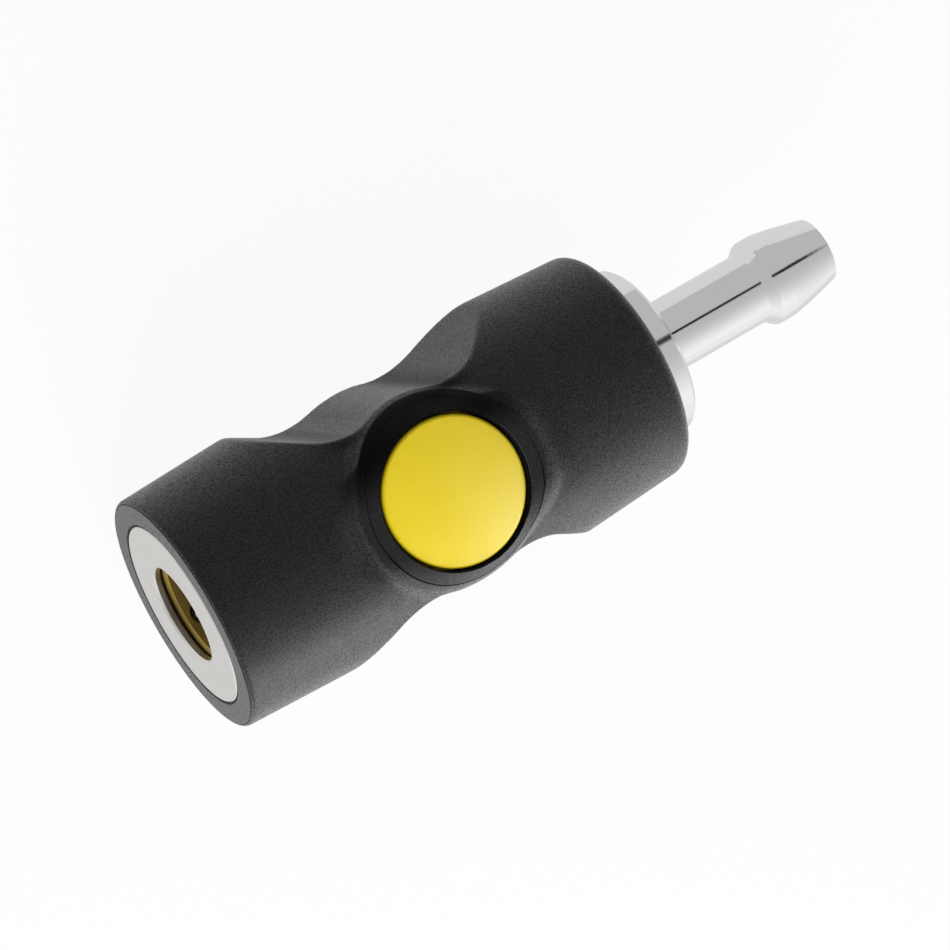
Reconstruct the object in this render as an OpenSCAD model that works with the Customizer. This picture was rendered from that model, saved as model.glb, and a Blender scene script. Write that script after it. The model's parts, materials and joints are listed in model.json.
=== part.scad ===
// Safety coupling for compressed air lines, with a push button release and a hose tail.
// X runs along the bore from the socket mouth to the hose end, Z points out of the button.
// The origin is the centre of the socket mouth. Lengths are in millimetres.

/* [Shell] */
// Length of the moulded shell
shell_len = 62.8; // [62:0.1:64.5]
// Radius of the shell at the socket end
front_r = 15.0; // [14.8:0.05:15.2]
// Radius of the shell at the hose end
rear_r = 14.85; // [14.7:0.05:15.1]
// Radius of the shell at the shoulders beside the waist
shoulder_r = 15.6; // [15.5:0.05:15.8]
// Distance from the socket end to the front shoulder
front_shoulder_x = 14.4; // [13.8:0.1:15]
// Distance from the hose end back to the rear shoulder
rear_shoulder_len = 14.6; // [14:0.1:15.2]
// Edge radius at the socket end
front_edge_r = 0.6; // [0.4:0.05:0.8]
// Edge radius at the hose end
rear_edge_r = 1.7; // [1.4:0.1:2.2]

/* [Waist] */
// Half width of the waist at its narrowest
waist_half_w = 10.95; // [10.85:0.05:11.1]
// Radius of the hollow on each side of the button boss
cove_r = 9.5; // [9:0.1:10]
// Angle at which the waist runs out to the shoulders
runout_angle = 30; // [28:0.5:32]
// Radius of the button boss
boss_r = 12.0; // [11.9:0.05:12.2]
// Half width of the boss across the waist, where its drafted sides meet the level of its top
boss_half_w = 9.55; // [9.4:0.05:9.7]
// Radius between the boss's top and its drafted sides
boss_roll_r = 1.5; // [1.2:0.1:1.6]
// Radius of the boss's edge in front of the button and behind it
boss_edge_r = 0.9; // [0.7:0.1:1]
// Draft of the boss's two sides across the waist, in degrees
boss_draft = 18; // [16:0.5:20]
// Height of the boss's top above the shell's crown
boss_rise = 0.15; // [0.1:0.05:0.25]
// Depth of the hollow in the crown in front of the boss and behind it
moat_depth = 0.8; // [0.6:0.1:0.9]

/* [Button] */
// Distance of the button's centre behind the shell's middle
button_shift = 0.1; // [0:0.05:0.3]
// Radius of the push button
button_r = 8.95; // [8.8:0.05:9.05]
// Gap around the push button
button_gap = 0.3; // [0.2:0.05:0.4]
// How far the button's edge lies below the boss's top
button_drop = 0.25; // [0.15:0.05:0.35]
// Height of the button's crown above its edge
button_dome = 0.6; // [0.4:0.05:0.9]
// Thickness of the button's top at its edge
button_wall = 1.5; // [1.3:0.1:1.6]
// Depth of the button's skirt below its edge
button_skirt = 4.0; // [3.8:0.1:4.3]
// Travel of the push button
button_travel = 2.0; // [1.8:0.1:2.2]

/* [Socket] */
// Radius of the bore that takes the plug
plug_bore_r = 6.15; // [6.05:0.05:6.2]
// Outer radius of the steel ring in the mouth
front_ring_r = 11.6; // [11.5:0.05:11.7]
// Thickness of the steel ring in the mouth
front_ring_t = 0.9; // [0.8:0.05:1]
// Gap between the steel ring and the shell
front_ring_gap = 0.25; // [0.15:0.05:0.35]
// Outer radius of the brass guide sleeve
sleeve_r = 8.0; // [7.9:0.05:8.1]
// Distance from the mouth to the guide sleeve
sleeve_x = 1.4; // [1.2:0.1:1.6]
// Distance from the mouth to the catch balls
ball_x = 3.9; // [3.8:0.1:4.1]
// Radius of a catch ball
ball_r = 1.5; // [1.4:0.05:1.5]

/* [Core] */
// Outer radius of the metal core
core_r = 10.4; // [10.3:0.05:10.5]
// Distance from the shell's hose end back to the core's rear face
rear_wall = 2.8; // [2.5:0.1:3]
// Thickness of the lock plate
lock_t = 3.0; // [2.8:0.1:3.2]
// Half width of the lock plate
lock_half_w = 7.3; // [7.2:0.05:7.4]
// How far the lock plate's edge stands into the plug bore at rest
lock_bite = 0.9; // [0.8:0.05:1]
// Wire radius of the button spring
button_wire_r = 0.45; // [0.4:0.05:0.5]
// Coil radius of the button spring, to the wire's centre
button_coil_r = 6.6; // [6.5:0.05:6.7]

/* [Valve] */
// Radius of the valve seat's bore
seat_bore_r = 4.4; // [4.3:0.05:4.5]
// Radius of the valve disc
valve_disc_r = 6.2; // [6.1:0.05:6.4]
// Opening travel of the valve
valve_travel = 4.0; // [3.6:0.1:4.1]
// Wire radius of the valve spring
valve_wire_r = 0.4; // [0.35:0.05:0.45]
// Coil radius of the valve spring, to the wire's centre
valve_coil_r = 3.6; // [3.5:0.05:3.7]

/* [Hose tail] */
// Radius of the flange against the shell
flange_r = 10.8; // [10.6:0.05:11]
// Thickness of the flange
flange_t = 3.5; // [3.2:0.1:3.8]
// Radius of the tail's neck
neck_r = 4.52; // [4.4:0.02:4.6]
// Radius of the barb's crest
barb_r = 5.62; // [5.5:0.02:5.8]
// Radius of the barb at the tail's end
barb_end_r = 4.2; // [4:0.05:4.4]
// Distance from the flange to the barb
neck_len = 15.6; // [15:0.1:16.2]
// Length of the barb
barb_len = 10.3; // [10:0.1:10.8]
// Radius of the hole through the tail
tail_bore_r = 3.2; // [3:0.05:3.3]

/* [Hidden] */

$fn = 96;
fit = 0.05; // clearance between turned pieces, on the radius
slip = 0.15; // play of a piece that slides in a slot
slide_gap = 0.1; // play on the radius of a piece that slides in a bore
arc_step = 2.5; // degrees turned by each straight piece in an arc of an outline

// Points of an arc about centre c, from angle a0 to angle a1
function arc(c, r, a0, a1, step = arc_step) =
    let (n = ceil(abs(a1 - a0) / step))
    [for (i = [0 : n]) let (a = a0 + (a1 - a0) * i / n) [c[0] + r * cos(a), c[1] + r * sin(a)]];

// Turned about the X axis from an outline of [distance along X, radius] points
module turned(outline, fn = $fn) {
    rotate([0, 90, 0]) rotate_extrude($fn = fn) polygon([for (p = outline) [p[1], p[0]]]);
}

// Plain bush along X
module bush(x0, x1, r_in, r_out) {
    turned([[x0, r_in], [x0, r_out], [x1, r_out], [x1, r_in]]);
}

// Rod along X
module rod_x(x0, x1, r) {
    translate([x0, 0, 0]) rotate([0, 90, 0]) cylinder(r = r, h = x1 - x0);
}

// Ring about the X axis with a round section
module wire_ring(x, ring_r, wire_r) {
    translate([x, 0, 0]) rotate([0, 90, 0])
        rotate_extrude() translate([ring_r, 0]) circle(r = wire_r, $fn = 24);
}

// Plate across the X axis from an outline drawn as [y, z]
module plate_x(x0, t) {
    translate([x0, 0, 0]) rotate([90, 0, 90]) linear_extrude(t) children();
}

// Coil spring along Z, as one tube swept along a helix
module coil_spring(z0, z1, coil_r, wire_r, turns, per_turn = 20, sides = 8) {
    rings = round(turns * per_turn);
    rise = (z1 - z0 - 2 * wire_r) / rings;
    points = [for (i = [0 : rings], k = [0 : sides - 1])
        let (a = 360 * i / per_turn, b = 360 * k / sides, r = coil_r + wire_r * cos(b))
        [r * cos(a), r * sin(a), z0 + wire_r + rise * i + wire_r * sin(b)]];
    walls = [for (i = [0 : rings - 1], k = [0 : sides - 1])
        let (n = (k + 1) % sides)
        [i * sides + k, i * sides + n, (i + 1) * sides + n, (i + 1) * sides + k]];
    first = [for (k = [0 : sides - 1]) sides - 1 - k];
    last = [for (k = [0 : sides - 1]) rings * sides + k];
    polyhedron(points, concat(walls, [first, last]), convexity = 10);
}

// Stations along X, each worked out from the one before
core_end_x = shell_len - rear_wall;
button_x = shell_len / 2 + button_shift;
rear_shoulder_x = shell_len - rear_shoulder_len;
lock_x0 = button_x - lock_t / 2;
lock_x1 = button_x + lock_t / 2;
hub_step = 1.7; // how much further the front ring's rim reaches than its plate
rim_x = front_ring_t + hub_step;
cavity_x = 6.4; // back of the room for the catch balls
hub_overlap = 3.0; // how far the front ring's hub reaches over the core
hub_x = cavity_x + hub_overlap;
sleeve_wall = 4.0; // metal between the guide sleeve's bore and the lock plate's slot
sleeve_end_x = lock_x0 - sleeve_wall;
lock_wall = 2.2; // metal between the lock plate and the plug seal
seal_x = lock_x1 + lock_wall;
seal_len = 3.4;
spacer_t = 1.4;
seat_x = seal_x + seal_len + spacer_t;
seat_t = 3.0;
seat_lip = 0.6;
valve_x = seat_x + seat_t + seat_lip;
disc_t = 1.4;
valve_turns = 4;
valve_room = valve_travel + 2 * valve_wire_r * valve_turns + 0.2; // length of the valve spring at rest
cup_x = valve_x + disc_t + valve_room;
cup_t = 1.6;
spigot_x = cup_x + cup_t;

// Shell

crown_rise = 0.05; // how much the crown over the waist stands above the shoulders
edge_step = 10; // degrees turned by each piece of a rounded edge
line_w = 0.15; // width of the fine lines where the moulded pieces meet
line_angle = 155; // where the line runs in the rounded edge at the mouth, 180 on its face
line_half_angle = 8;
front_edge_c = [front_edge_r, front_r - front_edge_r]; // centre of that rounded edge
crown_z = shoulder_r + crown_rise;

module barrel() {
    mid_x = (front_shoulder_x + rear_shoulder_x) / 2;
    turned(concat(
        [[0, 0]],
        arc(front_edge_c, front_edge_r, 180, line_angle + line_half_angle, edge_step),
        [front_edge_c + (front_edge_r - line_w / 2) * [cos(line_angle), sin(line_angle)]],
        arc(front_edge_c, front_edge_r, line_angle - line_half_angle, 93, edge_step),
        [[front_shoulder_x, shoulder_r], [mid_x, shoulder_r + crown_rise], [rear_shoulder_x, shoulder_r]],
        arc([shell_len - rear_edge_r, rear_r - rear_edge_r], rear_edge_r, 87, 0, edge_step),
        [[shell_len, 0]]
    ), 160);
}

// What is scooped away beside the waist, on the +Y side, seen from above the button
module scoop_outline() {
    cove_y = waist_half_w + cove_r;
    cove_x = sqrt(pow(boss_r + cove_r, 2) - pow(cove_y, 2));
    touch = atan2(cove_y, cove_x);
    reach_y = shoulder_r + 3; // clear of the barrel
    run_x = cove_x + cove_r * sin(runout_angle);
    run_y = cove_y - cove_r * cos(runout_angle);
    out_x = run_x + (reach_y - run_y) / tan(runout_angle);
    polygon(concat(
        arc([0, 0], boss_r, 180 - touch, touch),
        arc([cove_x, cove_y], cove_r, touch - 180, runout_angle - 90),
        [[out_x, reach_y], [-out_x, reach_y]],
        arc([-cove_x, cove_y], cove_r, -90 - runout_angle, -touch)
    ));
}

module scoops() {
    for (side = [0, 1])
        mirror([0, side, 0])
            translate([button_x, 0, -shoulder_r - 1]) linear_extrude(2 * shoulder_r + 2) scoop_outline();
}

boss_z = crown_z + boss_rise; // height of the boss's top
boss_root_z = 5.0; // foot of the boss, inside the barrel
boss_side_r = boss_r - 0.03; // keeps the boss's side a hair inside the scooped outline
boss_line_r = 10.95; // radius of the fine line round the collar
moat_flat = 0.9; // width of the hollow's floor
moat_run = 2.3; // width of the slope from the hollow's floor to the crown
button_edge_z = boss_z - button_drop;
lip_r = 9.55; // radius of the rim at the foot of the button's skirt
lip_t = 0.85;
skirt_z = button_edge_z - button_skirt;
ledge_z = skirt_z + lip_t + fit; // ledge that stops the button's rim
pocket_r = 8.1; // bore of the core that holds the seal, the valve and the hose tail's spigot
pocket_wall = 0.5; // metal between that bore and the button's spring
floor_z = pocket_r + pocket_wall; // flat under the button's spring
button_hole_r = button_r + button_gap;
rear_hole_r = pocket_r + 0.2;

// Section of the boss across the waist, drawn as [y, z], with its faces moved in by an inset
module boss_section(inset = 0) {
    r = boss_roll_r - inset;
    roll_w = boss_half_w - boss_roll_r * tan(45 - boss_draft / 2);
    roll_z = boss_z - boss_roll_r;
    root_w = boss_half_w - inset / cos(boss_draft) + (boss_z - boss_root_z) * tan(boss_draft);
    polygon(concat(
        [[root_w, boss_root_z]],
        arc([roll_w, roll_z], r, boss_draft, 90, edge_step),
        arc([-roll_w, roll_z], r, 90, 180 - boss_draft, edge_step),
        [[-root_w, boss_root_z]]
    ));
}

module boss_prism(inset = 0) {
    plate_x(button_x - boss_r - 1, 2 * boss_r + 2) boss_section(inset);
}

module button_boss() {
    intersection() {
        translate([button_x, 0, 0]) rotate_extrude() polygon(concat(
            [[0, boss_root_z], [boss_side_r, boss_root_z]],
            arc([boss_side_r - boss_edge_r, boss_z - boss_edge_r], boss_edge_r, 0, 90, edge_step),
            [[0, boss_z]]
        ));
        boss_prism();
    }
}

module boss_line() {
    difference() {
        translate([button_x, 0, floor_z]) rotate_extrude()
            translate([boss_line_r - line_w / 2, 0]) square([line_w, boss_z]);
        boss_prism(line_w);
    }
}

module moat() {
    floor_r = boss_r + moat_flat;
    translate([button_x, 0, 0]) rotate_extrude() polygon([
        [boss_side_r - 0.5, crown_z - moat_depth],
        [floor_r, crown_z - moat_depth],
        [floor_r + moat_run, crown_z + 0.1],
        [floor_r + moat_run, crown_z + 1],
        [boss_side_r - 0.5, crown_z + 1],
    ]);
}

module body_shell() {
    color([0.14, 0.14, 0.145])
    difference() {
        union() {
            difference() {
                barrel();
                scoops();
                moat();
            }
            button_boss();
        }
        boss_line();
        rod_x(-1, rim_x, front_ring_r + front_ring_gap);
        rod_x(0, core_end_x, core_r + fit);
        rod_x(core_end_x - 1, shell_len + 1, rear_hole_r);
        translate([button_x, 0, floor_z]) cylinder(r = button_hole_r, h = boss_z);
        translate([button_x, 0, floor_z]) cylinder(r = lip_r + button_gap, h = ledge_z - floor_z);
    }
}

// Socket

hub_wall = 0.65;
hub_bore_r = core_r - hub_wall;

module front_ring() {
    bevel = 0.25;
    color([0.84, 0.83, 0.82])
    turned([
        [0, plug_bore_r + bevel],
        [0, front_ring_r - bevel / 2],
        [bevel / 2, front_ring_r],
        [rim_x, front_ring_r],
        [rim_x, core_r],
        [hub_x, core_r],
        [hub_x, hub_bore_r],
        [front_ring_t, hub_bore_r],
        [front_ring_t, plug_bore_r],
        [bevel, plug_bore_r],
    ]);
}

// Angles of the catch balls about the bore, measured from straight down
ball_angles = [20, 140, 260];
ball_seat_r = plug_bore_r + ball_r + slide_gap;

module at_balls() {
    for (a = ball_angles)
        rotate([-a, 0, 0]) translate([ball_x, 0, 0]) children();
}

module guide_sleeve() {
    edge = 0.4;
    color([0.72, 0.55, 0.2])
    difference() {
        turned([
            [sleeve_x, plug_bore_r + edge],
            [sleeve_x, sleeve_r - edge],
            [sleeve_x + edge, sleeve_r],
            [sleeve_end_x, sleeve_r],
            [sleeve_end_x, plug_bore_r],
            [sleeve_x + edge, plug_bore_r],
        ]);
        at_balls() translate([0, 0, -sleeve_r - 1])
            cylinder(r = ball_r + fit, h = sleeve_r - plug_bore_r + 2, $fn = 48);
    }
}

module catch_balls() {
    color([0.8, 0.8, 0.82])
    at_balls() translate([0, 0, -ball_seat_r]) sphere(r = ball_r, $fn = 48);
}

module catch_spring() {
    strip_t = 0.3;
    strip_w = 2.2;
    split_w = 2.4;
    split_angle = 10;
    r0 = ball_seat_r + ball_r + fit;
    color([0.6, 0.61, 0.62])
    difference() {
        bush(ball_x - strip_w / 2, ball_x + strip_w / 2, r0, r0 + strip_t);
        rotate([split_angle, 0, 0])
            translate([ball_x - strip_w, -split_w / 2, 0]) cube([2 * strip_w, split_w, core_r]);
    }
}

// Core

lock_hole_r = plug_bore_r + slip;
lock_hole_z = lock_bite + slip; // centre of the plate's hole at rest
lock_hole_rise = button_travel - fit; // centre of the hole's upper end, to clear the plug when pressed
arch_wall = 1.4;
stem_half_w = 3.0;
plate_gap = 0.2; // gap left under the pressed plate
waist_z = 4.0; // height at which the plate narrows to its arch
core_bore_r = plug_bore_r + 0.4; // bore behind the guide sleeve

module metal_core() {
    color([0.62, 0.6, 0.56])
    difference() {
        union() {
            rod_x(cavity_x, core_end_x, hub_bore_r - fit);
            rod_x(hub_x, core_end_x, core_r);
        }
        rod_x(cavity_x - 1, sleeve_end_x, sleeve_r + fit);
        rod_x(cavity_x - 1, core_end_x, core_bore_r);
        rod_x(seal_x, core_end_x + 1, pocket_r);
        translate([button_x, 0, floor_z]) cylinder(r = lip_r + button_gap, h = core_r);
        translate([lock_x0 - slip / 2, -lock_half_w - slip, -core_r - 1])
            cube([lock_t + slip, 2 * (lock_half_w + slip), core_r + 1 + floor_z + 1]);
    }
}

// Button, lock plate and their spring

module lock_outline() {
    difference() {
        union() {
            intersection() {
                translate([-lock_half_w, -core_r]) square([2 * lock_half_w, core_r + waist_z]);
                translate([0, button_travel]) circle(r = core_r - plate_gap);
            }
            intersection() {
                translate([-lock_half_w, 0]) square([2 * lock_half_w, core_r]);
                translate([0, lock_hole_rise]) circle(r = lock_hole_r + arch_wall);
            }
            translate([-stem_half_w, lock_hole_rise + lock_hole_r])
                square([2 * stem_half_w, stem_top_z - lock_hole_rise - lock_hole_r]);
        }
        translate([0, lock_hole_z]) circle(r = lock_hole_r);
        translate([0, lock_hole_rise]) circle(r = lock_hole_r);
        translate([-lock_hole_r, lock_hole_z]) square([2 * lock_hole_r, lock_hole_rise - lock_hole_z]);
    }
}

under_z = button_edge_z - button_wall; // underside of the button's top
stem_top_z = under_z - slip;
pin_drop = 1.5; // from the underside to the pin
pin_z = under_z - pin_drop;
pin_r = 0.7;
pin_hole_r = pin_r + 0.02;
lug_t = 1.2;
lug_half_w = 2.4;
lug_foot = 1.4; // how far a lug reaches below the pin
lug_x = lock_t / 2 + slip;

module lock_plate() {
    color([0.7, 0.71, 0.72])
    difference() {
        plate_x(lock_x0, lock_t) lock_outline();
        translate([0, 0, pin_z]) rod_x(lock_x0 - 1, lock_x1 + 1, pin_hole_r, $fn = 32);
    }
}

module push_button() {
    skirt_wall = 1.2;
    edge = 0.5;
    dome_n = 8;
    root = 0.2; // how far a lug is sunk into the top
    color([0.9, 0.82, 0.2])
    translate([button_x, 0, 0]) difference() {
        union() {
            rotate_extrude() polygon(concat(
                [[0, under_z], [button_r - skirt_wall, under_z], [button_r - skirt_wall, skirt_z]],
                [[lip_r, skirt_z], [lip_r, skirt_z + lip_t], [button_r, skirt_z + lip_t]],
                arc([button_r - edge, button_edge_z - edge], edge, 0, 80, edge_step),
                [for (i = [dome_n - 1 : -1 : 0]) let (r = (button_r - edge) * i / dome_n)
                    [r, button_edge_z + button_dome * (1 - pow(i / dome_n, 2))]]
            ));
            for (side = [0, 1])
                mirror([side, 0, 0]) translate([lug_x, -lug_half_w, pin_z - lug_foot])
                    cube([lug_t, 2 * lug_half_w, lug_foot + pin_drop + root]);
        }
        translate([0, 0, pin_z]) rod_x(-lug_x - lug_t - 1, lug_x + lug_t + 1, pin_hole_r, $fn = 32);
    }
}

module button_pin() {
    color([0.75, 0.76, 0.78])
    translate([button_x, 0, pin_z]) rod_x(-lug_x - lug_t, lug_x + lug_t, pin_r, $fn = 32);
}

button_turns = 3.5;

module button_spring() {
    color([0.66, 0.67, 0.69])
    translate([button_x, 0, 0]) coil_spring(floor_z, under_z, button_coil_r, button_wire_r, button_turns);
}

// Seal and valve

module plug_seal() {
    nose_r = 4.1;
    lip_t = 1.1;
    foot_r = nose_r + lip_t + 0.7; // root of the lip that closes on the plug's end
    color([0.06, 0.06, 0.065])
    turned([
        [seal_x, core_bore_r],
        [seal_x, pocket_r - fit],
        [seal_x + seal_len, pocket_r - fit],
        [seal_x + seal_len, foot_r],
        [seal_x + seal_len - 1.0, foot_r + 0.2],
        [seal_x + seal_len - 0.3, nose_r],
        [seal_x + seal_len - 1.3, nose_r],
        [seal_x + 1.0, plug_bore_r - 0.4],
    ]);
}

module seal_spacer() {
    color([0.74, 0.6, 0.28])
    bush(seal_x + seal_len, seat_x, seat_bore_r + 0.3, pocket_r - fit);
}

o_ring_r = 0.55; // half the height left for an o-ring in its groove
o_ring_gap = 0.02;
groove_half_w = 0.75;
groove_r = pocket_r - 2 * o_ring_r;
seat_groove_x = seat_x + seat_t / 2;

module o_ring(x) {
    wire_ring(x, pocket_r - o_ring_r, o_ring_r - o_ring_gap);
}

module valve_seat() {
    lip_w = 0.45;
    color([0.74, 0.58, 0.24])
    turned([
        [seat_x, seat_bore_r],
        [seat_x, pocket_r - fit],
        [seat_groove_x - groove_half_w, pocket_r - fit],
        [seat_groove_x - groove_half_w, groove_r],
        [seat_groove_x + groove_half_w, groove_r],
        [seat_groove_x + groove_half_w, pocket_r - fit],
        [seat_x + seat_t, pocket_r - fit],
        [seat_x + seat_t, seat_bore_r + 2 * lip_w],
        [valve_x, seat_bore_r + lip_w],
        [valve_x, seat_bore_r],
    ]);
}

module seat_seal() {
    color([0.06, 0.06, 0.065])
    o_ring(seat_groove_x);
}

nose_x = seal_x + seal_len + 0.2; // front end of the poppet's nose
nose_r = seat_bore_r - slide_gap;
stem_r = 1.6;
rubber_t = 0.7;

module valve_poppet() {
    port_r = 1.1;
    port_back = 1.6; // from the disc's front face to the ports
    nose_wall = 0.9;
    edge = 0.3;
    color([0.7, 0.56, 0.25])
    difference() {
        turned([
            [nose_x, nose_r - nose_wall],
            [nose_x, nose_r - edge],
            [nose_x + edge, nose_r],
            [valve_x + rubber_t, nose_r],
            [valve_x + rubber_t, valve_disc_r],
            [valve_x + disc_t, valve_disc_r],
            [valve_x + disc_t, stem_r],
            [spigot_x - 0.2, stem_r],
            [spigot_x - 0.2, 0],
            [valve_x, 0],
            [valve_x, nose_r - nose_wall],
        ]);
        for (a = [45 : 90 : 315])
            rotate([a, 0, 0]) translate([valve_x - port_back, 0, 0])
                cylinder(r = port_r, h = valve_disc_r, $fn = 32);
    }
}

module poppet_seal() {
    color([0.06, 0.06, 0.065])
    bush(valve_x + fit, valve_x + rubber_t, nose_r + o_ring_gap, valve_disc_r - fit);
}

module valve_spring() {
    color([0.66, 0.67, 0.69])
    rotate([0, 90, 0]) coil_spring(valve_x + disc_t, cup_x, valve_coil_r, valve_wire_r, valve_turns);
}

module valve_cage() {
    wall = 0.85;
    port_r = 1.3;
    port_ring_r = 5.8;
    color([0.72, 0.57, 0.24])
    difference() {
        turned([
            [seat_x + seat_t, pocket_r - fit - wall],
            [seat_x + seat_t, pocket_r - fit],
            [spigot_x, pocket_r - fit],
            [spigot_x, stem_r + fit],
            [cup_x, stem_r + fit],
            [cup_x, pocket_r - fit - wall],
        ]);
        for (a = [0 : 45 : 315])
            rotate([a, 0, 0]) translate([0, 0, port_ring_r])
                rod_x(cup_x - 1, spigot_x + 1, port_r, $fn = 32);
    }
}

// Hose tail

tail_groove_x = spigot_x + 3.0;
flange_x = shell_len + flange_t;
barb_x = flange_x + neck_len;
end_x = barb_x + barb_len;
shoulder_len = 1.6; // slope in front of the barb's crest
land_len = 1.7; // straight length of the crest
taper_x = barb_x + shoulder_len + land_len;

module hose_adapter() {
    flange_bevel = 0.5;
    back_bevel = 0.2;
    bell = 1.2; // how much wider the hole is at its inner end
    spigot_r = pocket_r - slide_gap;
    spigot_bevel = 0.4;
    crest_edge = 0.4;
    rim = 0.3;
    taper_n = 8;
    taper_power = 1.25; // how the barb's taper curves
    color([0.8, 0.8, 0.8])
    turned(concat(
        [[spigot_x, tail_bore_r + bell]],
        [[spigot_x, spigot_r - spigot_bevel], [spigot_x + spigot_bevel, spigot_r]],
        [[tail_groove_x - groove_half_w, spigot_r], [tail_groove_x - groove_half_w, groove_r]],
        [[tail_groove_x + groove_half_w, groove_r], [tail_groove_x + groove_half_w, spigot_r]],
        [[shell_len, spigot_r], [shell_len, flange_r - back_bevel], [shell_len + back_bevel, flange_r]],
        [[flange_x - flange_bevel, flange_r], [flange_x, flange_r - flange_bevel]],
        [[flange_x, neck_r], [barb_x, neck_r]],
        [[barb_x + shoulder_len - crest_edge, barb_r - 0.12], [barb_x + shoulder_len, barb_r]],
        [for (i = [0 : taper_n]) let (t = i / taper_n)
            [taper_x + (end_x - taper_x) * t, barb_r - (barb_r - barb_end_r) * pow(t, taper_power)]],
        [[end_x, tail_bore_r + rim], [end_x - rim, tail_bore_r]],
        [[tail_groove_x + bell, tail_bore_r]]
    ));
}

module adapter_seal() {
    color([0.06, 0.06, 0.065])
    o_ring(tail_groove_x);
}

body_shell();
front_ring();
guide_sleeve();
catch_balls();
catch_spring();
metal_core();
lock_plate();
push_button();
button_pin();
button_spring();
plug_seal();
seal_spacer();
valve_seat();
seat_seal();
valve_poppet();
poppet_seal();
valve_spring();
valve_cage();
hose_adapter();
adapter_seal();
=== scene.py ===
import json
import math

import bmesh
import bpy
import numpy as np
from mathutils import Matrix, Vector


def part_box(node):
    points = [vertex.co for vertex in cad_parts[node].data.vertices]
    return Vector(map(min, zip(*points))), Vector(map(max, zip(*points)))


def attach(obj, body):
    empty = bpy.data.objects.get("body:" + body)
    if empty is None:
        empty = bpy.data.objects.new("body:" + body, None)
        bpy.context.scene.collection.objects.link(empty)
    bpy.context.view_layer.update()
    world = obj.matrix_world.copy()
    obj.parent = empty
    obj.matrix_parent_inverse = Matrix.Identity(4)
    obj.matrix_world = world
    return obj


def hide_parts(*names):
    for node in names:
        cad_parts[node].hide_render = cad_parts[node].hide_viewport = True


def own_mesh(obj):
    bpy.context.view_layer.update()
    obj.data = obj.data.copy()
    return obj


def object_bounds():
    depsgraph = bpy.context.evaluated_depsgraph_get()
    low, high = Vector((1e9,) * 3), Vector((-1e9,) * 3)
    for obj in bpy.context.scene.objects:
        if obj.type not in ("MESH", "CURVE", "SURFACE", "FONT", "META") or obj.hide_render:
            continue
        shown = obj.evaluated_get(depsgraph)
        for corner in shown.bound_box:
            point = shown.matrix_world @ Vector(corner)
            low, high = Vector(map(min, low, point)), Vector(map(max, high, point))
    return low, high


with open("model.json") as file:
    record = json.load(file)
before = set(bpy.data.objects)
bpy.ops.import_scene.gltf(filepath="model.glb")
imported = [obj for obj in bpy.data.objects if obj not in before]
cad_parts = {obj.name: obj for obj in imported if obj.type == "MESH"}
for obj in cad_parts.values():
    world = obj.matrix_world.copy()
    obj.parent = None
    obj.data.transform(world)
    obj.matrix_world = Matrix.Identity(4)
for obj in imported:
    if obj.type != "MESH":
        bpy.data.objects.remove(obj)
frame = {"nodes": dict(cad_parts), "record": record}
cad_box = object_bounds()
nodes = frame["nodes"]
MM = 0.001


# Sizes in millimetres that the frame gives

def node_span(name, axis):
    """Lowest and highest place of a node along an axis, in metres."""
    low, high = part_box(name)
    return low[axis], high[axis]


def in_mm(length):
    return round(length / MM, 2)


SHELL_LEN = in_mm(node_span("body_shell", 0)[1])
BOSS_TOP = in_mm(node_span("body_shell", 2)[1])
CORE_END_X = in_mm(node_span("metal_core", 0)[1])
BUTTON_X = in_mm(sum(node_span("push_button", 0)) / 2)
FLOOR_Z = in_mm(node_span("button_spring", 2)[0])  # floor of the button's hole

# Sizes in millimetres of the moulded shell

FRONT_R = 15.0  # radius of the barrel at the mouth
REAR_R = 14.85  # radius of the barrel at the hose end
SHOULDER_R = 15.6  # radius of the barrel beside the waist
CROWN_R = 15.65  # largest radius of the barrel
FRONT_EDGE_R = 0.6
REAR_EDGE_R = 1.7
BARREL_START = 0.8  # first station behind the front edge's round
BARREL_END = SHELL_LEN - REAR_EDGE_R
FRONT_SHOULDER_X = 14.4
REAR_SHOULDER_X = SHELL_LEN - 14.6
WAIST_HALF_W = 10.95
COVE_R = 9.5  # radius of the hollows beside the boss
RUNOUT = math.radians(30)  # angle at which the waist runs out to the shoulders
BOSS_FOOT_R = 12.0  # radius of the boss in the waist's outline
BOSS_R = 11.97
EDGE_AXIS_R = 16.1  # radius, about the bore, of the cylinder that holds the collar's edge
LINE_R = 10.95  # radius of the fine line round the collar
LIP_R = 9.4  # where the collar's top starts to fall
HOLE_R = 9.25  # hole for the button
HOLE_LIP_R = 0.12  # round of that hole's edge
RIM_HOLE_R = 9.85  # room for the button's rim
LEDGE_Z = 12.45  # ledge that stops that rim
MOUTH_R = 11.85
MOUTH_DEPTH = 2.6
CORE_HOLE_R = 10.45
REAR_HOLE_R = 8.3


# Node helpers

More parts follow.
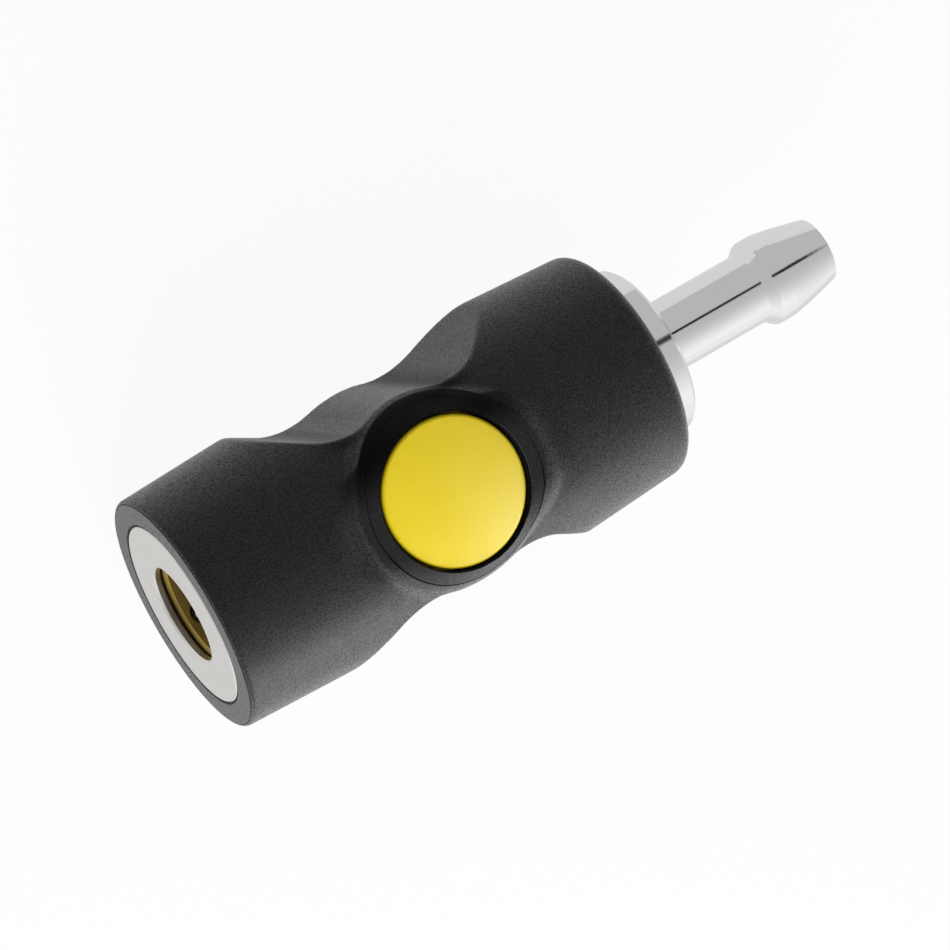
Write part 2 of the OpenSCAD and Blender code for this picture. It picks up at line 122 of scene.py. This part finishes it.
class Graph:
    """A node tree with short calls for making and joining nodes."""

    def __init__(self, tree):
        self.tree = tree
        tree.nodes.clear()

    def add(self, kind, inputs=None, **settings):
        node = self.tree.nodes.new(kind)
        for key, value in settings.items():
            setattr(node, key, value)
        for key, value in (inputs or {}).items():
            self.put(node, key, value)
        return node

    def put(self, node, key, value):
        if isinstance(value, bpy.types.NodeSocket):
            self.tree.links.new(value, node.inputs[key])
        else:
            node.inputs[key].default_value = value

    def math(self, operation, *values):
        node = self.add("ShaderNodeMath", operation=operation)
        for index, value in enumerate(values):
            self.put(node, index, value)
        return node.outputs[0]

    def times(self, a, b):
        return self.math("MULTIPLY", a, b)

    def minus(self, a, b):
        return self.math("SUBTRACT", a, b)

    def larger(self, a, b):
        return self.math("MAXIMUM", a, b)

    def distance(self, a, b):
        return self.math("ABSOLUTE", self.minus(a, b))

    def radius(self, a, b):
        return self.math("SQRT", self.math("ADD", self.times(a, a), self.times(b, b)))

    def mix(self, factor, a, b):
        node = self.add("ShaderNodeMix", data_type="RGBA")
        self.put(node, 0, factor)
        self.put(node, 6, a)
        self.put(node, 7, b)
        return node.outputs[2]

    def ramp(self, value, low, high, to_low=0.0, to_high=1.0):
        """A smooth step from to_low to to_high while value runs from low to high."""
        node = self.add("ShaderNodeMapRange", interpolation_type="SMOOTHSTEP")
        for index, item in enumerate((value, low, high, to_low, to_high)):
            self.put(node, index, item)
        return node.outputs[0]

    def fade(self, value, low, high):
        """1 below low and 0 above high."""
        return self.ramp(value, low, high, 1.0, 0.0)

    def inside(self, mask, level, elsewhere=1.0):
        """A level where the mask is 1, and another where it is 0."""
        return self.ramp(mask, 0.0, 1.0, elsewhere, level)

    def noise(self, place, scale, detail=2.0, roughness=0.5):
        return self.add("ShaderNodeTexNoise", {"Vector": place, "Scale": scale, "Detail": detail,
                                               "Roughness": roughness}).outputs[0]

    def bump(self, height, strength, distance):
        return self.add("ShaderNodeBump", {"Height": height, "Strength": strength,
                                           "Distance": distance}).outputs[0]

    def place(self):
        return self.add("ShaderNodeTexCoord").outputs["Object"]

    def split(self, vector):
        return self.add("ShaderNodeSeparateXYZ", {"Vector": vector}).outputs

    def mirrored(self, path):
        """1 for a ray that came off a mirror or through glass."""
        return self.larger(path.outputs["Is Glossy Ray"], path.outputs["Is Transmission Ray"])


def material(name, build, **surface):
    """A material from a Principled shader with constant sockets, and what build links to it."""
    made = bpy.data.materials.new(name)
    made.use_nodes = True
    graph = Graph(made.node_tree)
    shader = graph.add("ShaderNodeBsdfPrincipled")
    for key, value in surface.items():
        shader.inputs[key.replace("_", " ")].default_value = value
    graph.add("ShaderNodeOutputMaterial", {0: shader.outputs[0]})
    build(graph, shader)
    return made


def wear(graph, shader, color, spread, rough, rough_spread, scale):
    """Links uneven colour and polish, and returns the place they are read at."""
    place = graph.place()
    cloud = graph.noise(place, scale, detail=3.0)
    dark = tuple(c * (1 - spread) for c in color)
    pale = tuple(min(1.0, c * (1 + spread)) for c in color)
    graph.put(shader, "Base Color", graph.mix(cloud, (*dark, 1.0), (*pale, 1.0)))
    graph.put(shader, "Roughness", graph.ramp(cloud, 0.3, 0.7, rough - rough_spread, rough + rough_spread))
    return place


def fine_relief(graph, shader, height, strength):
    graph.put(shader, "Normal", graph.bump(height, strength, 0.02 * MM))


# Materials

def collar_zones(graph, x, y, z):
    """Masks for the collar; for painted shade on its far side at +Y, in the fine line and in the button's
    hole; and for a painted highlight in the hollow toward the mouth.
    """
    from_button = graph.radius(graph.minus(x, BUTTON_X * MM), y)
    above_waist = graph.ramp(z, 8 * MM, 9 * MM)
    collar_edge = graph.ramp(y, -6 * MM, 0.0, LINE_R * MM, 11.7 * MM)
    within_edge = graph.fade(graph.minus(from_button, collar_edge), -0.1 * MM, 0.15 * MM)
    on_collar = graph.times(within_edge, above_waist)
    round_collar = graph.times(graph.fade(from_button, 12.3 * MM, 14.8 * MM),
                               graph.ramp(z, 13.4 * MM, 14.2 * MM))
    # Where shade is painted on the collar's far side at +Y.
    far_side_shade = graph.times(graph.larger(on_collar, round_collar), graph.ramp(y, 1 * MM, 9 * MM))
    to_line = graph.distance(from_button, LINE_R * MM)
    in_line = graph.times(graph.fade(to_line, 0.05 * MM, 0.12 * MM), graph.ramp(y, -4 * MM, 0.0, 1.0, 0.2))
    in_hole = graph.fade(from_button, (HOLE_R + 0.05) * MM, (HOLE_R + 0.2) * MM)
    # Where shade is painted in the fine line and in the button's hole.
    groove_and_hole_shade = graph.times(graph.larger(in_line, in_hole), above_waist)
    # Where a highlight is painted in the hollow between the collar and the mouth.
    to_hollow = graph.distance(from_button, 12.5 * MM)
    hollow_highlight = graph.times(graph.fade(to_hollow, 0.2 * MM, 0.9 * MM),
                            graph.fade(x, (BUTTON_X - 9) * MM, (BUTTON_X - 3) * MM))
    return on_collar, far_side_shade, groove_and_hole_shade, hollow_highlight


def paint_valley_shade(graph, lit, x, y):
    """Painted shade: less sheen and gloss in the two dips of the waist's far side."""
    far_wall = graph.ramp(y, 9.5 * MM, 10.5 * MM)
    for valley_x, share in ((23.5 * MM, 0.5), (37.5 * MM, 0.7)):
        near_valley = graph.ramp(graph.distance(x, valley_x), 0.0, 5 * MM, share, 0.0)
        lit = graph.times(lit, graph.minus(1.0, graph.times(near_valley, far_wall)))
    return lit


def shell_plastic(graph, shader):
    """Black plastic with a moulded grain, which the collar and the front face hardly have; its sheen and
    gloss carry painted shade and a painted highlight.
    """
    place = wear(graph, shader, (0.0034, 0.0034, 0.0036), spread=0.25, rough=0.47, rough_spread=0.03,
                 scale=900.0)
    x, y, z = graph.split(place)
    on_collar, far_side_shade, groove_and_hole_shade, hollow_highlight = collar_zones(graph, x, y, z)
    on_front = graph.times(graph.fade(x, 0.1 * MM, 0.4 * MM),
                           graph.fade(graph.radius(y, z), 14.6 * MM, 14.9 * MM))

    worn = shader.inputs["Base Color"].links[0].from_socket
    # The collar's own paler base, held back as painted shade on its far side, in the fine line and in the
    # button's hole.
    pale = graph.times(on_collar, graph.inside(graph.larger(far_side_shade, groove_and_hole_shade), 0.0))
    graph.put(shader, "Base Color", graph.mix(pale, worn, (0.0135, 0.0135, 0.014, 1.0)))

    speckle = graph.noise(place, 5600.0, detail=1.0)
    lumps = graph.noise(place, 2600.0, detail=1.0)
    grain = graph.math("ADD", speckle, graph.times(lumps, 0.8))
    smooth_face = graph.larger(on_collar, on_front)
    height = graph.times(grain, graph.inside(smooth_face, 0.15))
    graph.put(shader, "Normal", graph.bump(height, strength=0.5, distance=0.06 * MM))

    # Painted shade: less sheen and gloss in the fine line, the button's hole, the collar's far side and the
    # waist's far dips.
    lit = graph.times(graph.inside(groove_and_hole_shade, 0.1), graph.inside(far_side_shade, 0.2))
    lit = paint_valley_shade(graph, lit, x, y)
    sheen = graph.times(graph.ramp(speckle, 0.35, 0.65, 0.2, 0.85), graph.inside(smooth_face, 0.5))
    # Painted highlight: more sheen in the hollow between the collar and the mouth.
    sheen = graph.times(sheen, graph.inside(hollow_highlight, 1.7))
    graph.put(shader, "Sheen Weight", graph.times(sheen, lit))
    # The gloss takes the same painted shade, and is lower on the collar.
    graph.put(shader, "Specular IOR Level", graph.times(lit, graph.inside(on_collar, 0.1, 0.2)))


def button_plastic(graph, shader):
    """Yellow plastic, with its gloss turned down at the button's edge as painted shade."""
    place = wear(graph, shader, (0.9, 0.69, 0.008), spread=0.03, rough=0.4, rough_spread=0.04,
                 scale=260.0)
    fine_relief(graph, shader, graph.noise(place, 2600.0), strength=0.12)
    x, y = graph.split(place)[:2]
    from_button = graph.radius(graph.minus(x, BUTTON_X * MM), y)
    # Painted shade: weaker gloss on the button's edge.
    rim_shade = graph.ramp(from_button, 8.4 * MM, 8.95 * MM)
    graph.put(shader, "Specular IOR Level", graph.inside(rim_shade, 0.1, 0.4))


def turned_metal(color, spread, rough, rough_spread, mark_scale, mark_strength):
    """Metal with fine turning marks round the bore."""
    def build(graph, shader):
        place = wear(graph, shader, color, spread, rough, rough_spread, scale=420.0)
        x, y, z = graph.split(place)
        spot = graph.add("ShaderNodeCombineXYZ", {0: x, 1: graph.radius(y, z), 2: 0.0}).outputs[0]
        fine_relief(graph, shader, graph.noise(spot, mark_scale, roughness=0.6), mark_strength)
    return build


def plain_metal(color, spread, rough, rough_spread):
    def build(graph, shader):
        place = wear(graph, shader, color, spread, rough, rough_spread, scale=700.0)
        fine_relief(graph, shader, graph.noise(place, 2200.0), strength=0.1)
    return build


def seal_rubber(graph, shader):
    place = wear(graph, shader, (0.018, 0.018, 0.019), spread=0.2, rough=0.55, rough_spread=0.06,
                 scale=500.0)
    fine_relief(graph, shader, graph.noise(place, 3000.0), strength=0.2)


# Each metal has its colour, the spread of that colour, its roughness and the spread of that.
# Turned ones add the scale and the strength of their marks.
metals = {
    "ring_steel": turned_metal((0.83, 0.815, 0.79), 0.03, 0.32, 0.04, 5200.0, 0.2),
    "tail_nickel": turned_metal((0.87, 0.865, 0.855), 0.02, 0.09, 0.02, 3000.0, 0.05),
    "sleeve_brass": turned_metal((0.62, 0.46, 0.13), 0.08, 0.5, 0.06, 4200.0, 0.3),
    "valve_brass": turned_metal((0.55, 0.37, 0.10), 0.06, 0.25, 0.05, 4200.0, 0.2),
    "core_metal": turned_metal((0.50, 0.49, 0.47), 0.06, 0.38, 0.05, 3600.0, 0.3),
    "plate_steel": plain_metal((0.56, 0.56, 0.57), 0.06, 0.32, 0.06),
    "ball_steel": plain_metal((0.62, 0.62, 0.64), 0.03, 0.12, 0.03),
    "spring_steel": plain_metal((0.45, 0.45, 0.47), 0.08, 0.28, 0.05),
}
looks = {name: material(name, build, Metallic=1.0) for name, build in metals.items()}
looks["shell_plastic"] = material("shell_plastic", shell_plastic, IOR=1.45, Sheen_Roughness=0.5)
looks["button_plastic"] = material("button_plastic", button_plastic, IOR=1.46, Sheen_Weight=0.02,
                                   Sheen_Roughness=0.6)
looks["seal_rubber"] = material("seal_rubber", seal_rubber, IOR=1.5, Specular_IOR_Level=0.35)


def dress(piece, slot):
    piece.data.materials.clear()
    piece.data.materials.append(looks[slot])


def smooth(mesh):
    """Smooth shading with the corners kept sharp."""
    mesh.shade_smooth()
    mesh.set_sharp_from_angle(angle=math.radians(24))


def new_piece(name, data):
    piece = bpy.data.objects.new(name, data)
    bpy.context.scene.collection.objects.link(piece)
    return piece


for part in frame["record"]["subparts"]:
    dress(nodes[part["node"]], part["material_slot"])
for node in nodes.values():
    smooth(node.data)


# The shell as a field, in millimetres

def soft_max(a, b, k):
    """The larger of two values, rounded where they are within k of each other."""
    share = np.clip(0.5 + 0.5 * (a - b) / k, 0, 1)
    return b + (a - b) * share + k * share * (1 - share)


def soft_min(a, b, k):
    return -soft_max(-a, -b, k)


def soft_step(value, low, high):
    t = np.clip((value - low) / (high - low), 0, 1)
    return t * t * (3 - 2 * t)


def waist(u):
    """Half width of the waist at a distance from the button."""
    cove_y = WAIST_HALF_W + COVE_R
    reach = BOSS_FOOT_R + COVE_R
    cove_u = math.sqrt(reach ** 2 - cove_y ** 2)
    touch_u = cove_u * BOSS_FOOT_R / reach
    run_u = cove_u + COVE_R * math.sin(RUNOUT)
    run_y = cove_y - COVE_R * math.cos(RUNOUT)
    u = np.abs(u)
    boss = np.sqrt(np.clip(BOSS_FOOT_R ** 2 - u * u, 0, None))
    cove = cove_y - np.sqrt(np.clip(COVE_R ** 2 - (u - cove_u) ** 2, 0, None))
    run = run_y + (u - run_u) * math.tan(RUNOUT)
    return np.where(u < touch_u, boss, np.where(u < run_u, cove, run))


def barrel_r(x):
    """Radius of the barrel at a station."""
    front_share = (x - BARREL_START) / (FRONT_SHOULDER_X - BARREL_START)
    rear_share = (x - REAR_SHOULDER_X) / (BARREL_END - REAR_SHOULDER_X)
    front = FRONT_R + (SHOULDER_R - FRONT_R) * front_share
    rear = SHOULDER_R + (REAR_R - SHOULDER_R) * rear_share
    blend = 0.12
    return soft_min(soft_min(front, rear, blend), np.full_like(x, CROWN_R), blend)


def waisted_barrel(x, u, y, z):
    """The barrel, cut down to the waist on both sides."""
    out = np.hypot(y, z) - barrel_r(x)
    reach = 0.02
    slope = (waist(u + reach) - waist(u - reach)) / (2 * reach)
    side = (np.abs(y) - waist(u)) / np.sqrt(1 + slope * slope)
    return soft_max(out, side, 0.3)


def crown_hollow(u, rho, z):
    """The hollow in the crown round the boss, level near the boss and rising beyond."""
    level_r, level_z, higher_behind = 12.9, 14.85, 0.25
    slope, slope_cos = 0.39, 0.93
    beyond = rho - level_r
    rise = 0.5 * (beyond + np.sqrt(beyond ** 2 + 0.5))
    return (z - level_z - higher_behind * soft_step(u, 0, 8) - slope * rise) * slope_cos


def button_boss(y, rho, z, behind):
    """The boss. Its top is level at the lip and falls to an edge that lies on a cylinder about the bore."""
    edge_y = BOSS_R * y / np.maximum(rho, 1)
    edge_z = np.sqrt(EDGE_AXIS_R ** 2 - edge_y ** 2)
    least_fall = 0.08
    fall = soft_max((BOSS_TOP - edge_z) / (BOSS_R - LIP_R), least_fall, 0.1)
    top = (z - BOSS_TOP + fall * np.clip(rho - LIP_R, 0, 4)) / np.sqrt(1 + fall * fall)
    boss = soft_max(top, rho - BOSS_R, 0.7 + 0.9 * behind)
    root_z = 5
    return soft_max(boss, root_z - z, 0.5)


def shell_field(x, y, z):
    """Below zero inside the moulded shell, zero on its outside."""
    u = x - BUTTON_X
    rho = np.hypot(u, y)
    behind = soft_step(u, 2, 8)
    body = soft_max(waisted_barrel(x, u, y, z), crown_hollow(u, rho, z), 0.5)
    boss = button_boss(y, rho, z, behind)
    toward_middle = -np.abs(y)
    ease = 0.9 * soft_step(toward_middle, -9, -4) + 1.6 * behind * soft_step(toward_middle, -11, -6)
    blend = (0.4 + ease) * soft_step(z, 7.5, 11) + 0.04
    return soft_min(body, boss, blend)


def field_normal(points):
    x, y, z = points.T
    step = 0.01
    gradient = np.stack([
        shell_field(x + step, y, z) - shell_field(x - step, y, z),
        shell_field(x, y + step, z) - shell_field(x, y - step, z),
        shell_field(x, y, z + step) - shell_field(x, y, z - step),
    ], 1)
    return gradient / np.linalg.norm(gradient, axis=1)[:, None]


def surface_between(like, low, high, place):
    """Distances between low and high at which the field is zero, one for each value of like."""
    inside, outside = np.full_like(like, low), np.full_like(like, high)
    for _ in range(26):
        middle = (inside + outside) / 2
        out = shell_field(*place(middle)) > 0
        outside = np.where(out, middle, outside)
        inside = np.where(out, inside, middle)
    return (inside + outside) / 2


# The shell as a mesh

def mesh_piece(name, points, faces):
    data = bpy.data.meshes.new(name)
    data.from_pydata([tuple(p) for p in points], [], faces)
    data.validate()
    return new_piece(name, data)


def closed_grid(points):
    """A torus of quads through points given as [row][column]."""
    rows, columns = points.shape[:2]
    index = np.arange(rows * columns).reshape(rows, columns)
    a, b = index, np.roll(index, -1, axis=0)
    quads = np.stack([a, np.roll(a, -1, axis=1), np.roll(b, -1, axis=1), b], -1).reshape(-1, 4)
    return points.reshape(-1, 3), quads.tolist()


def on_arc(middle_x, middle_r, arc_r, degrees):
    angle = math.radians(degrees)
    return middle_x + arc_r * math.cos(angle), middle_r + arc_r * math.sin(angle)


def shell_rows(turn):
    """Closed loop of rows round the bore, as arrays of [x, radius] at every angle."""
    rows = []

    def ring(x, r):
        rows.append((np.full_like(turn, x), np.full_like(turn, r)))

    bores = ((SHELL_LEN, REAR_HOLE_R), (CORE_END_X, REAR_HOLE_R), (CORE_END_X, CORE_HOLE_R),
             (MOUTH_DEPTH, CORE_HOLE_R), (MOUTH_DEPTH, MOUTH_R))
    for x, r in bores:
        ring(x, r)
    for x, out in ((0.15, 0.0), (0.05, 0.03), (0.0, 0.12), (0.0, 0.25)):
        ring(x, MOUTH_R + out)

    # The front edge's round, with a fine line in it
    front_middle_r = FRONT_R - FRONT_EDGE_R
    ring(0.0, front_middle_r - 0.1)
    line_angle, line_depth, line_half = 160, 0.1, 8
    line = (line_angle + line_half, line_angle, line_angle - line_half)
    for angle in (180, 172, *line, *range(148, 97, -10)):
        depth = line_depth if angle == line_angle else 0
        ring(*on_arc(FRONT_EDGE_R, front_middle_r, FRONT_EDGE_R - depth, angle))

    fine_start, fine_end = 18.6, 44.5
    fine, coarse = 0.18, 0.55
    stations = np.unique(np.round(np.concatenate([
        np.arange(BARREL_START, fine_start, coarse),
        np.arange(fine_start, fine_end, fine),
        np.arange(fine_end, BARREL_END - 0.1, coarse),
    ]), 3))
    for x in stations:
        at = np.full_like(turn, x)
        r = surface_between(turn, low=6.0, high=19.5,
                            place=lambda r: (at, r * np.cos(turn), r * np.sin(turn)))
        rows.append((at, r))

    rear_middle_r = REAR_R - REAR_EDGE_R
    for angle in range(84, -1, -12):
        ring(*on_arc(BARREL_END, rear_middle_r, REAR_EDGE_R, angle))
    ring(SHELL_LEN, rear_middle_r - 0.15)
    return rows


def hole_tool():
    """What is bored away for the button, turned about the button's axis."""
    outline = [(RIM_HOLE_R, FLOOR_Z), (RIM_HOLE_R, LEDGE_Z), (HOLE_R, LEDGE_Z)]
    lip_r, lip_z = HOLE_R + HOLE_LIP_R, BOSS_TOP - HOLE_LIP_R
    outline += [on_arc(lip_r, lip_z, HOLE_LIP_R, angle) for angle in range(180, 89, -15)]
    above_boss = 17.0
    outline.append((lip_r, above_boss))
    count = 144
    points, faces = [], []
    for r, z in outline:
        for k in range(count):
            angle = 2 * math.pi * k / count
            points.append((BUTTON_X + r * math.cos(angle), r * math.sin(angle), z))
    for i in range(len(outline) - 1):
        for k in range(count):
            n = (k + 1) % count
            faces.append((i * count + k, i * count + n, (i + 1) * count + n, (i + 1) * count + k))
    faces.append(tuple(reversed(range(count))))
    faces.append(tuple((len(outline) - 1) * count + k for k in range(count)))
    return mesh_piece("hole_tool", points, faces)


def line_tool():
    """The fine groove round the collar, as a thin three-sided ring that follows the surface."""
    around = np.linspace(0, 2 * math.pi, 360, endpoint=False)
    x, y = BUTTON_X + LINE_R * np.cos(around), LINE_R * np.sin(around)
    z = surface_between(x, low=9.0, high=17.0, place=lambda z: (x, y, z))
    middle = np.stack([x, y, z], 1)
    out = field_normal(middle)
    along = np.roll(middle, -1, axis=0) - np.roll(middle, 1, axis=0)
    across = np.cross(along, out)
    across /= np.linalg.norm(across, axis=1)[:, None]
    proud, half_width = 0.06, 0.13
    depth = (0.14 + 0.16 * soft_step(-y, -2, 5))[:, None]
    rings = np.stack([middle + out * proud + across * half_width, middle - out * depth,
                      middle + out * proud - across * half_width])
    return mesh_piece("line_tool", *closed_grid(rings))


def cut_away(piece, tools):
    for tool in tools:
        cut = piece.modifiers.new(tool.name, "BOOLEAN")
        cut.operation = "DIFFERENCE"
        cut.solver = "MANIFOLD"
        cut.object = tool
    evaluated = piece.evaluated_get(bpy.context.evaluated_depsgraph_get())
    piece_mesh = bpy.data.meshes.new_from_object(evaluated)
    piece.modifiers.clear()
    piece.data = piece_mesh
    piece_mesh.name = piece.name
    for tool in tools:
        bpy.data.objects.remove(tool)


def read(collection, key, width, kind):
    """All values of one property, in rows where width is above 1."""
    values = np.empty(len(collection) * width, dtype=kind)
    collection.foreach_get(key, values)
    return values.reshape(-1, width) if width > 1 else values


def field_normals_on(mesh):
    """A normal for every corner: the field's where the face lies on the shell's outside, else none."""
    place = read(mesh.vertices, "co", 3, np.float32).astype(float)
    tolerance, least_facing = 0.004, 0.9
    on_field = np.abs(shell_field(*place.T)) < tolerance
    on_outside = on_field & (place[:, 0] > BARREL_START - 0.1) & (place[:, 0] < BARREL_END)
    normals = field_normal(place)
    corner = read(mesh.loops, "vertex_index", 1, np.int32)
    face_normal = read(mesh.polygons, "normal", 3, np.float32)
    sizes = read(mesh.polygons, "loop_total", 1, np.int32)
    owner = np.repeat(np.arange(len(sizes)), sizes)
    facing = np.einsum("ij,ij->i", face_normal[owner], normals[corner])
    use = on_outside[corner] & (facing > least_facing)
    return np.where(use[:, None], normals[corner], 0.0)


def shell_skin():
    """The moulded shell with soft edges, bored for the button and grooved round the collar."""
    fine_step, coarse_step = 0.62, 1.6
    over_the_top = np.arange(35, 145, fine_step)
    underneath = np.arange(145, 395, coarse_step)
    turn = np.radians(np.concatenate([over_the_top, underneath]))
    rows = shell_rows(turn)
    points = np.stack([np.stack([x, r * np.cos(turn), r * np.sin(turn)], -1) for x, r in rows])
    piece = mesh_piece("shell_skin", *closed_grid(points))
    cut_away(piece, (hole_tool(), line_tool()))
    smooth(piece.data)
    normals = field_normals_on(piece.data)
    piece.data.transform(Matrix.Scale(MM, 4))
    piece.data.normals_split_custom_set(normals.tolist())
    return piece


skin = shell_skin()
dress(skin, "shell_plastic")
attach(skin, "housing")
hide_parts("body_shell")


# Springs

def coil(name, base, tip, coil_r, wire_r, turns, to_place):
    """A wound wire with two closed end turns, between two ends along Z, then moved by a matrix."""
    per_turn, sides, closed = 40, 12, 0.75
    steps = int(turns * per_turn)
    length = tip - base - 2 * wire_r
    mesh = bmesh.new()
    rings = []
    for i in range(steps + 1):
        turn = i / per_turn
        eased = min(max(turn - closed, 0.0), turns - 2 * closed) / (turns - 2 * closed)
        lift = base + wire_r + length * eased
        angle = 2 * math.pi * turn
        ring = []
        for k in range(sides):
            around = 2 * math.pi * k / sides
            out = coil_r + wire_r * math.cos(around)
            point = (out * math.cos(angle), out * math.sin(angle), lift + wire_r * math.sin(around))
            ring.append(mesh.verts.new(point))
        rings.append(ring)
    for a, b in zip(rings, rings[1:]):
        for k in range(sides):
            n = (k + 1) % sides
            mesh.faces.new((a[k], b[k], b[n], a[n]))
    mesh.faces.new(rings[0])
    mesh.faces.new(tuple(reversed(rings[-1])))
    bmesh.ops.recalc_face_normals(mesh, faces=mesh.faces)
    data = bpy.data.meshes.new(name)
    mesh.to_mesh(data)
    mesh.free()
    data.shade_smooth()
    data.transform(to_place)
    piece = new_piece(name, data)
    dress(piece, "spring_steel")
    return piece


under_button = Matrix.Translation((BUTTON_X * MM, 0, 0))
along_bore = Matrix.Rotation(math.pi / 2, 4, "Y")

floor_z, under_z = node_span("button_spring", 2)
button_coil = coil("button_coil", floor_z, under_z, coil_r=6.6 * MM, wire_r=0.45 * MM, turns=3.75,
                   to_place=under_button)
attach(button_coil, "housing")
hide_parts("button_spring")
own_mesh(button_coil)

valve_x, cup_x = node_span("valve_spring", 0)
valve_coil = coil("valve_coil", valve_x, cup_x, coil_r=3.6 * MM, wire_r=0.4 * MM, turns=4.0,
                  to_place=along_bore)
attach(valve_coil, "housing")
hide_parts("valve_spring")
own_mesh(valve_coil)


# Floor and world

WHITE = (1.0, 1.0, 1.0, 1.0)


def pale_floor():
    """Nearly white to the camera with a faint shadow, greyer in mirrors with painted light and shade, plain
    paper to other light.
    """
    half = 1.6
    level = cad_box[0][2] - 0.05 * MM
    data = bpy.data.meshes.new("floor")
    corners = [(-half, -half, level), (half, -half, level), (half, half, level), (-half, half, level)]
    data.from_pydata(corners, [], [(0, 1, 2, 3)])
    made = bpy.data.materials.new("floor")
    made.use_nodes = True
    graph = Graph(made.node_tree)
    path = graph.add("ShaderNodeLightPath")
    mirrored = graph.mirrored(path)
    seen = graph.larger(path.outputs["Is Camera Ray"], mirrored)
    y = graph.split(graph.place())["Y"]
    # Painted light and shade: in mirrors the floor glows 0.95 far out toward -Y and 0.75 near the part and
    # toward +Y.
    mirror_glow_painted = graph.ramp(y, -60 * MM, -20 * MM, 0.95, 0.75)
    strength = graph.math("ADD", graph.times(mirrored, mirror_glow_painted), graph.minus(1.0, mirrored))
    paper = graph.add("ShaderNodeBsdfDiffuse", {"Color": (0.9, 0.9, 0.9, 1.0)})
    glow = graph.add("ShaderNodeEmission", {"Color": WHITE, "Strength": strength})
    glow_share = graph.times(seen, 0.93)
    both = graph.add("ShaderNodeMixShader", {0: glow_share, 1: paper.outputs[0], 2: glow.outputs[0]})
    graph.add("ShaderNodeOutputMaterial", {0: both.outputs[0]})
    data.materials.append(made)
    piece = new_piece("floor", data)


def studio_world():
    """Bright on the near side and greyer overhead for reflections, with one narrow dark slit above."""
    world = bpy.data.worlds.new("studio")
    bpy.context.scene.world = world
    world.use_nodes = True
    graph = Graph(world.node_tree)
    path = graph.add("ShaderNodeLightPath")
    toward = graph.split(graph.add("ShaderNodeTexCoord").outputs["Generated"])
    y, z = toward["Y"], toward["Z"]
    slit_angle = math.radians(9.8)
    across = graph.minus(graph.times(y, math.cos(slit_angle)), graph.times(z, math.sin(slit_angle)))
    near_slit = graph.fade(graph.math("ABSOLUTE", across), 0.035, 0.085)
    slit = graph.times(near_slit, graph.ramp(z, 0.55, 0.7))
    near_side = graph.larger(graph.times(y, -1.0), 0.0)
    overhead, near_gain = 0.53, 0.6
    level = graph.math("MULTIPLY_ADD", graph.times(near_side, near_side), near_gain, overhead)
    level = graph.times(graph.math("MINIMUM", level, 1.0), graph.inside(slit, 0.03))
    reflected = graph.add("ShaderNodeBackground", {"Color": level, "Strength": 1.0})
    plain = graph.add("ShaderNodeBackground", {"Color": WHITE, "Strength": 0.5})
    lit = graph.add("ShaderNodeMixShader", {0: graph.mirrored(path), 1: plain.outputs[0],
                                            2: reflected.outputs[0]})
    white = graph.add("ShaderNodeBackground", {"Color": WHITE, "Strength": 1.0})
    both = graph.add("ShaderNodeMixShader", {0: path.outputs["Is Camera Ray"], 1: lit.outputs[0],
                                             2: white.outputs[0]})
    graph.add("ShaderNodeOutputWorld", {0: both.outputs[0]})


pale_floor()
studio_world()


# Lamps and camera

ON_BORE = Vector((40, 0, 0)) * MM
BY_MOUTH = Vector((8, -8, 12)) * MM  # upper near side of the barrel


def softbox(name, place, target, width, height, power):
    data = bpy.data.lights.new(name, "AREA")
    data.shape = "RECTANGLE"
    data.size, data.size_y = width, height
    data.energy = power
    lamp = new_piece(name, data)
    lamp.location = place
    lamp.rotation_euler = (target - place).to_track_quat("-Z", "Y").to_euler()
    return lamp


def key_lamp():
    """Lights every piece, and shows in no reflection."""
    lamp = softbox("key", Vector((-120, -290, 150)) * MM, ON_BORE, width=0.3, height=0.25, power=1.4)
    lamp.visible_glossy = False


def gloss_lamp(name, piece, target, way, distance, size, power):
    """A square lamp that shows only as a soft highlight, and only on one piece."""
    lamp = softbox(name, target + Vector(way) * distance, target, size, size, power)
    lamp.visible_diffuse = False
    lit = bpy.data.collections.new(name)
    lit.objects.link(piece)
    lamp.light_linking.receiver_collection = lit


def photo_camera():
    """Above the mouth, rolled so that the tail points to the picture's upper right."""
    data = bpy.data.cameras.new("camera")
    data.lens = 154.652
    data.sensor_width = 36.0
    data.sensor_fit = "HORIZONTAL"
    data.clip_start = 0.05
    data.clip_end = 10.0
    camera = new_piece("camera", data)
    place = Vector((-111.486, 99.347, 450.678)) * MM
    target = Vector((39.75, -3.02, 0)) * MM
    roll = math.radians(96.079)
    look = (target - place).to_track_quat("-Z", "Y").to_matrix().to_4x4()
    camera.matrix_world = Matrix.Translation(place) @ look @ Matrix.Rotation(roll, 4, "Z")
    bpy.context.scene.camera = camera


key_lamp()
gloss_lamp("glare", nodes["push_button"], ON_BORE, way=(0.5, -0.62, 0.6), distance=0.6, size=0.2, power=5.4)
gloss_lamp("gloss", skin, BY_MOUTH, way=(0.25, -0.95, 0.1), distance=0.25, size=0.12, power=0.45)
photo_camera()
bpy.context.scene.view_settings.view_transform = "Standard"
